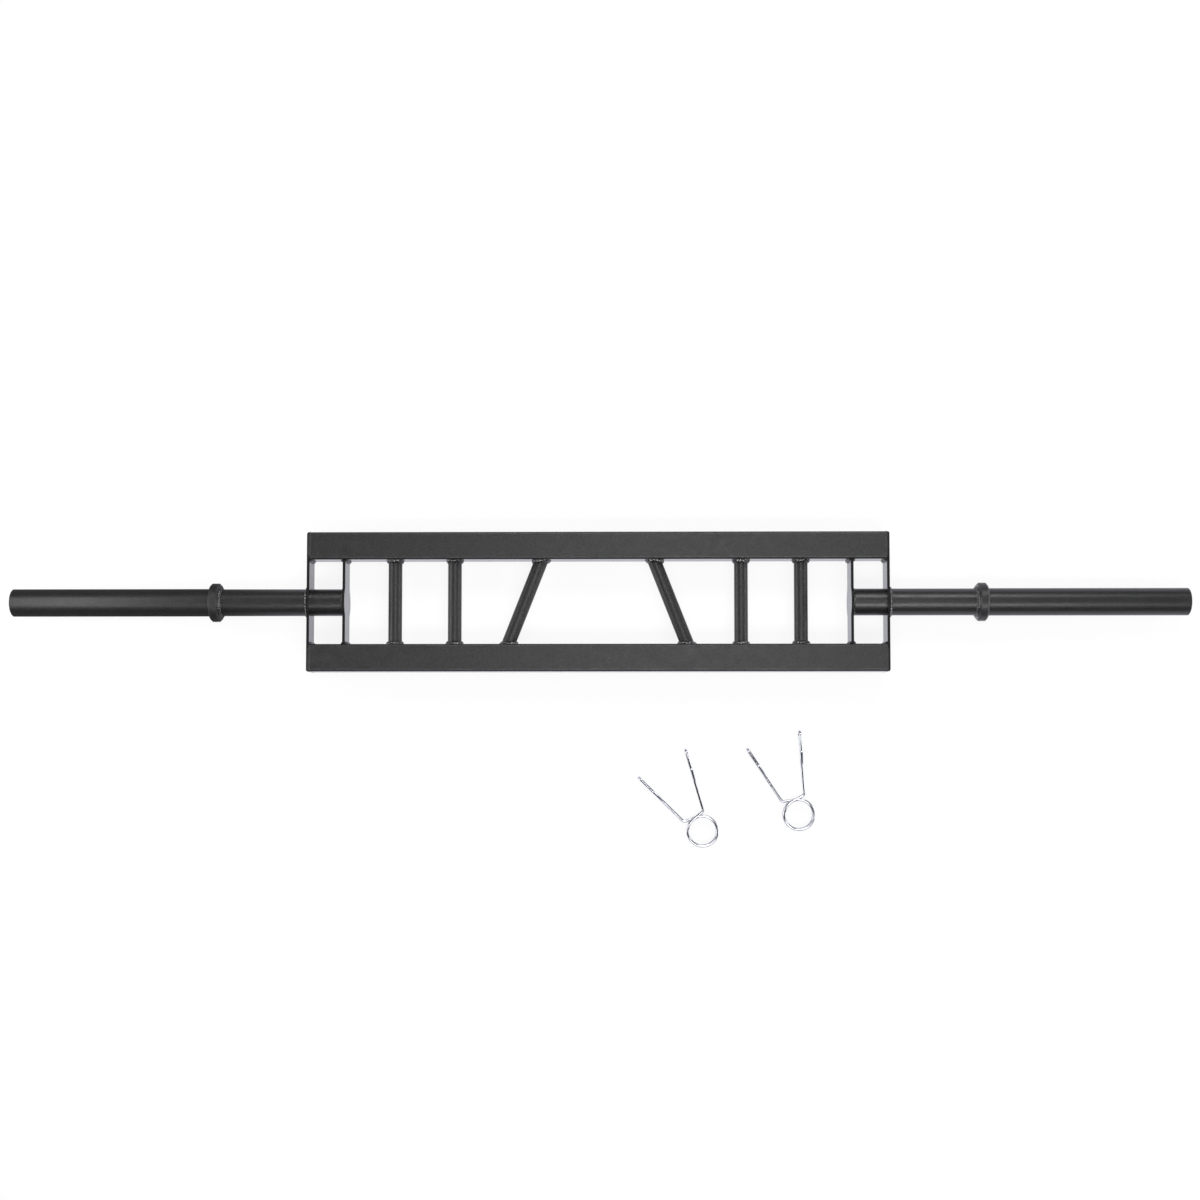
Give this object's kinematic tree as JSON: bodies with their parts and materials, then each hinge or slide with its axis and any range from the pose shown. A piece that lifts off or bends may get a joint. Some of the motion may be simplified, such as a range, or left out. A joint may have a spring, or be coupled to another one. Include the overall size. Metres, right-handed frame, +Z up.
{
  "type": "multi-grip barbell with spring collars",
  "caption": "Straight barbell whose middle is a rectangular frame of square rails with straight and angled crosswise grips, with a stop ring on each sleeve and wire spring collars beside it.",
  "frame": {"origin": "on the sleeves' common axis at the middle of the bar", "axes": "+X along the sleeves to the right of the picture, +Y across the frame towards the rail that the angled grips lean in to, +Z up out of the frame's plane. The bar lies flat, its stop rings and plates on the floor at Z -0.035"},
  "size_m": [2.134, 0.5712, 0.07],
  "materials": {
    "coated_steel": "satin black powder coat",
    "coated_welds": "satin black powder coat over weld beads",
    "end_caps": "satin black powder coat",
    "chrome_wire": "bright chrome plate on spring wire"
  },
  "bodies": {
    "bar": {"upper_rail": "coated_steel", "lower_rail": "coated_steel", "left_outer_grip": "coated_steel", "left_inner_grip": "coated_steel", "left_angled_grip": "coated_steel", "right_angled_grip": "coated_steel", "right_inner_grip": "coated_steel", "right_outer_grip": "coated_steel", "left_outer_plate": "coated_steel", "right_outer_plate": "coated_steel", "left_inner_plate": "coated_steel", "right_inner_plate": "coated_steel", "left_sleeve": "coated_steel", "right_sleeve": "coated_steel", "left_stop_ring": "coated_steel", "right_stop_ring": "coated_steel", "left_end_cap": "end_caps", "right_end_cap": "end_caps", "upper_grip_welds": "coated_welds", "lower_grip_welds": "coated_welds", "left_plate_welds": "coated_welds", "right_plate_welds": "coated_welds", "left_sleeve_welds": "coated_welds", "right_sleeve_welds": "coated_welds", "left_ring_weld": "coated_welds", "right_ring_weld": "coated_welds"},
    "left_collar": {"left_collar_coil": "chrome_wire", "left_collar_lower_arm": "chrome_wire"},
    "left_collar_arm": {"left_collar_upper_arm": "chrome_wire"},
    "right_collar": {"right_collar_coil": "chrome_wire", "right_collar_lower_arm": "chrome_wire"},
    "right_collar_arm": {"right_collar_upper_arm": "chrome_wire"}
  },
  "joints": [
    {"name": "left_collar_slide", "type": "slide", "parent": "bar", "child": "left_collar", "axis": [0, -1, 0], "range_m": [0, 0.15]},
    {"name": "left_collar_squeeze", "type": "hinge", "parent": "left_collar", "child": "left_collar_arm", "pos_m": [0.19, -0.415, -0.0236], "axis": [0, 0, 1], "range_deg": [0, 32], "stiffness_Nm_per_rad": 12.7, "deforming": ["left_collar_coil"]},
    {"name": "right_collar_slide", "type": "slide", "parent": "bar", "child": "right_collar", "axis": [0, -1, 0], "range_m": [0, 0.15]},
    {"name": "right_collar_squeeze", "type": "hinge", "parent": "right_collar", "child": "right_collar_arm", "pos_m": [0.365, -0.385, -0.0236], "axis": [0, 0, 1], "range_deg": [0, 32], "stiffness_Nm_per_rad": 12.7, "deforming": ["right_collar_coil"]}
  ]
}
